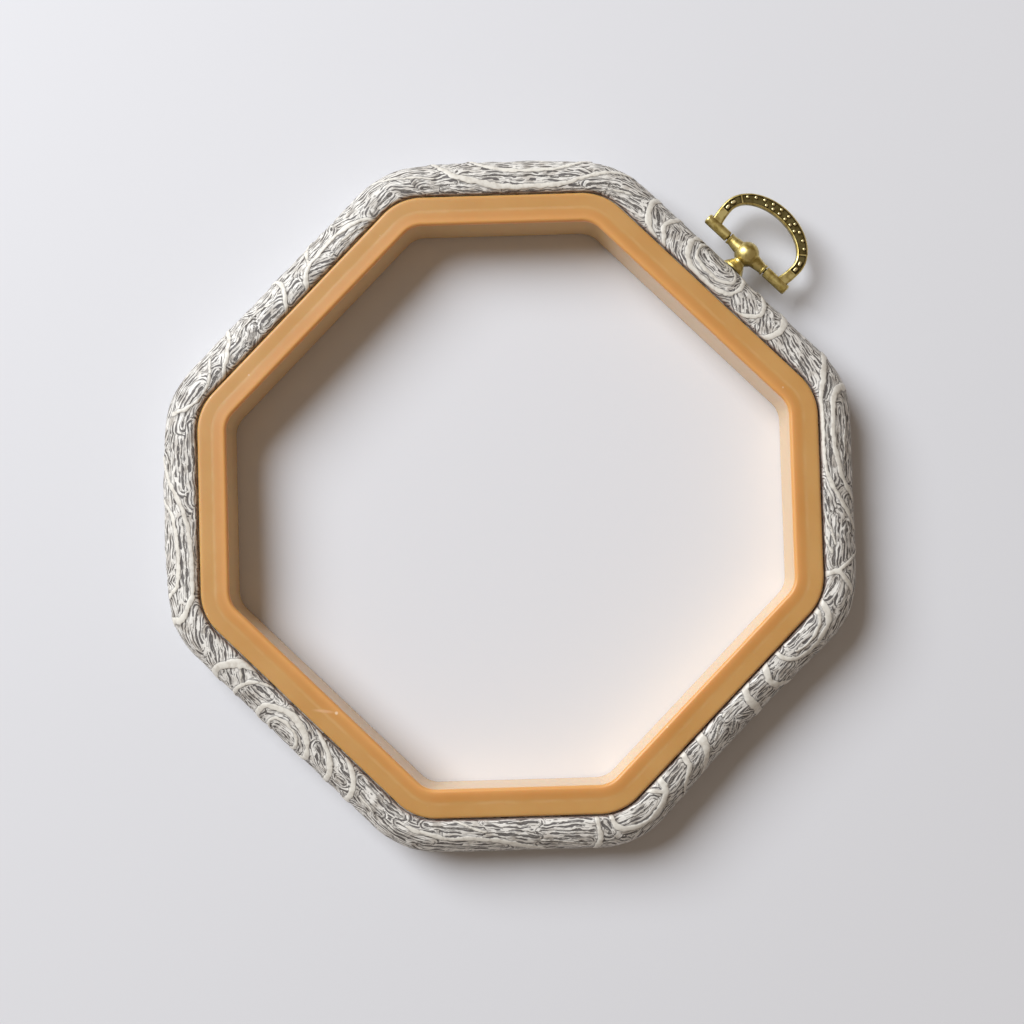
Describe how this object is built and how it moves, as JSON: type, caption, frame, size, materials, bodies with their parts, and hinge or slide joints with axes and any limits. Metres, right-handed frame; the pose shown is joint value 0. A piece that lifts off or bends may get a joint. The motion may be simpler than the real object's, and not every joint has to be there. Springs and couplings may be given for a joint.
{
  "type": "embroidery hoop",
  "caption": "Octagonal embroidery hoop: a soft outer ring over a rigid lipped inner ring, with a swinging D loop on a ball post to hang it.",
  "frame": {"origin": "middle of the octagonal work window, on the plane that the hoop's back lies on", "axes": "+Z out of the face that shows the stitching, +Y towards the hanger, +X to the right when the hoop hangs on a wall"},
  "size_m": [0.155, 0.1747, 0.0148],
  "materials": {
    "soft_vinyl": "embossed wood grain, whitewashed, satin",
    "rigid_plastic": "moulded, tan, satin",
    "antique_brass": "antiqued, worn bright on the high spots",
    "screw_steel": "zinc plated"
  },
  "bodies": {
    "outer_frame": {"outer_ring": "soft_vinyl", "hanger_screw": "screw_steel", "backing_washer": "screw_steel", "cup_washer": "antique_brass", "hanger_post": "antique_brass", "pivot_pin": "screw_steel"},
    "inner_frame": {"inner_ring": "rigid_plastic"},
    "loop": {"hanging_loop": "antique_brass"}
  },
  "joints": [
    {"name": "ring_press_out", "type": "slide", "parent": "outer_frame", "child": "inner_frame", "axis": [0, 0, 1], "range_m": [0, 0.018]},
    {"name": "loop_swing", "type": "hinge", "parent": "outer_frame", "child": "loop", "pos_m": [0, 0.0828, 0.0073], "axis": [1, 0, 0], "range_deg": [-25, 135]}
  ]
}
